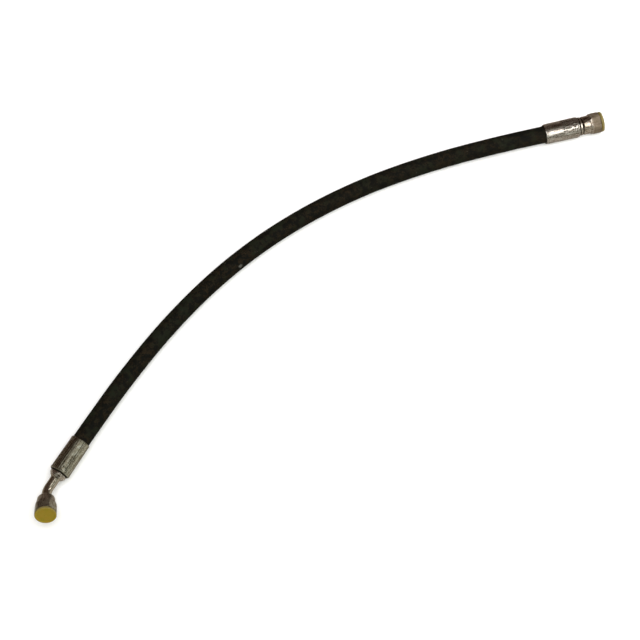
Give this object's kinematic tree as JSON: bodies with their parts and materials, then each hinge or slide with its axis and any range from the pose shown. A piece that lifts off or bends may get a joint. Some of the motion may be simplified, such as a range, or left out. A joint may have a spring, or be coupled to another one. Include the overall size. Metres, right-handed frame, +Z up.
{
  "type": "hydraulic hose assembly",
  "caption": "Short wire-braided rubber hydraulic hose lying in a gentle arc, with a straight swivel nut on one end, a swept elbow swivel nut on the other, and push-in end plugs.",
  "frame": {"origin": "on the surface that the assembly lies on, under the centre of the box around its two end fittings and plugs", "axes": "+X towards the straight fitting's end along the longest side, +Y to the side that the straight fitting lies on, +Z up"},
  "size_m": [0.4856, 0.3782, 0.0294],
  "materials": {
    "cover_rubber": "matt, cloth-wrap cured",
    "tube_rubber": "smooth",
    "seal_rubber": "smooth",
    "braid_wire": "brass-coated wire braid",
    "ferrule_zinc": "zinc plated, crimped",
    "stem_zinc": "zinc plated, turned",
    "nut_zinc": "zinc plated, satin",
    "spring_wire": "bright drawn wire",
    "braze": "plated over braze",
    "plug_plastic": "moulded polyethylene"
  },
  "bodies": {
    "hose": {"hose_inner_tube": "tube_rubber", "inner_wire_braid": "braid_wire", "braid_interlayer": "tube_rubber", "outer_wire_braid": "braid_wire", "hose_outer_cover": "cover_rubber", "straight_ferrule": "ferrule_zinc", "straight_stem": "stem_zinc", "straight_thrust_wire": "spring_wire", "straight_nose_o_ring": "seal_rubber", "elbow_ferrule": "ferrule_zinc", "elbow_stem": "stem_zinc", "elbow_tube": "stem_zinc", "elbow_tail_braze_ring": "braze", "elbow_nose_nipple": "stem_zinc", "elbow_nose_braze_ring": "braze", "elbow_nose_o_ring": "seal_rubber"},
    "straight_nut": {"straight_swivel_nut": "nut_zinc"},
    "straight_plug": {"straight_end_plug": "plug_plastic"},
    "elbow_nut": {"elbow_swivel_nut": "nut_zinc"},
    "elbow_plug": {"elbow_end_plug": "plug_plastic"}
  },
  "joints": [
    {"name": "straight_nut_swivel", "type": "hinge", "parent": "hose", "child": "straight_nut", "pos_m": [0.23846, 0.1797, 0.0093], "axis": [0.9699, 0.2436, 0], "continuous": true},
    {"name": "straight_plug_pull", "type": "slide", "parent": "straight_nut", "child": "straight_plug", "axis": [0.9699, 0.2436, 0], "range_m": [0, 0.02]},
    {"name": "elbow_nut_swivel", "type": "hinge", "parent": "hose", "child": "elbow_nut", "pos_m": [-0.23298, -0.18302, 0.02043], "axis": [0.0896, -0.8799, 0.4667], "continuous": true},
    {"name": "elbow_plug_pull", "type": "slide", "parent": "elbow_nut", "child": "elbow_plug", "axis": [0.0896, -0.8799, 0.4667], "range_m": [0, 0.02]}
  ]
}
